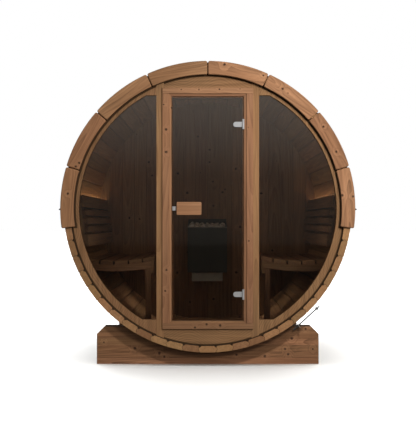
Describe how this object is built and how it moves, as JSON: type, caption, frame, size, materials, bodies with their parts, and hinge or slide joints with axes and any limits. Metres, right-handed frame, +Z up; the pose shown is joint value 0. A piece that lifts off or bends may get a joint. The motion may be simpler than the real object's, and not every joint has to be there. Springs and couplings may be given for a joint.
{
  "type": "barrel sauna",
  "caption": "Round wooden barrel sauna on cradles, with a glazed front wall, a hinged tinted glass door, curved benches and backrests, and a wall heater inside.",
  "frame": {"origin": "on the ground, under the middle of the object's bounding box", "axes": "+Z up, -Y out of the front with the door, +X to the right of someone who faces the front"},
  "size_m": [2.0898, 1.51, 2.1379],
  "materials": {
    "stave_wood": "planed heat-treated softwood, oiled",
    "trim_wood": "planed heat-treated softwood, oiled, orange-brown",
    "wall_wood": "planed heat-treated softwood, oiled, ochre-brown",
    "interior_wood": "planed heat-treated softwood, bare",
    "cradle_wood": "laminated heat-treated softwood, oiled, dark",
    "tinted_glass": "tempered, bronze tint",
    "steel": "satin stainless",
    "band_steel": "bright stainless strip",
    "roof_felt": "mineral-faced roofing felt, black",
    "black_flashing": "black coated sheet",
    "warm_light": "diffuser, warm white",
    "heater_enamel": "dark grey enamel",
    "heater_stone": "rough broken stone",
    "heater_steel": "light grey enamel"
  },
  "bodies": {
    "cabin": {"staves_floor": "stave_wood", "staves_lower_left": "stave_wood", "staves_lower_right": "stave_wood", "staves_side_left": "stave_wood", "staves_side_right": "stave_wood", "staves_upper_left": "stave_wood", "staves_upper_right": "stave_wood", "staves_crown": "stave_wood", "trim_front": "trim_wood", "trim_rear": "trim_wood", "front_rims": "wall_wood", "front_stiles": "wall_wood", "front_top_panel": "wall_wood", "front_bottom_panel": "wall_wood", "windows": "tinted_glass", "door_casing": "wall_wood", "door_lining": "wall_wood", "hinge_flanges": "steel", "back_wall": "interior_wood", "vent": "interior_wood", "roof_cover": "roof_felt", "drip_edges": "black_flashing", "band_front": "band_steel", "band_rear": "band_steel", "band_rods": "band_steel", "cradle_front": "cradle_wood", "cradle_rear": "cradle_wood", "bench_slats_left": "interior_wood", "bench_slats_right": "interior_wood", "bench_frames_left": "interior_wood", "bench_frames_right": "interior_wood", "bench_aprons": "interior_wood", "backrest_left": "interior_wood", "backrest_right": "interior_wood", "backrest_battens": "interior_wood", "light_strips": "warm_light", "heater_case": "heater_enamel", "heater_stones": "heater_stone", "heater_unit": "heater_steel"},
    "door": {"door_glass": "tinted_glass", "door_handle": "trim_wood", "door_latch": "steel", "hinge_clamps": "steel"}
  },
  "joints": [
    {"name": "door_hinge", "type": "hinge", "parent": "cabin", "child": "door", "pos_m": [0.2505, -0.705, 1.108], "axis": [0, 0, 1], "range_deg": [0, 105]}
  ]
}
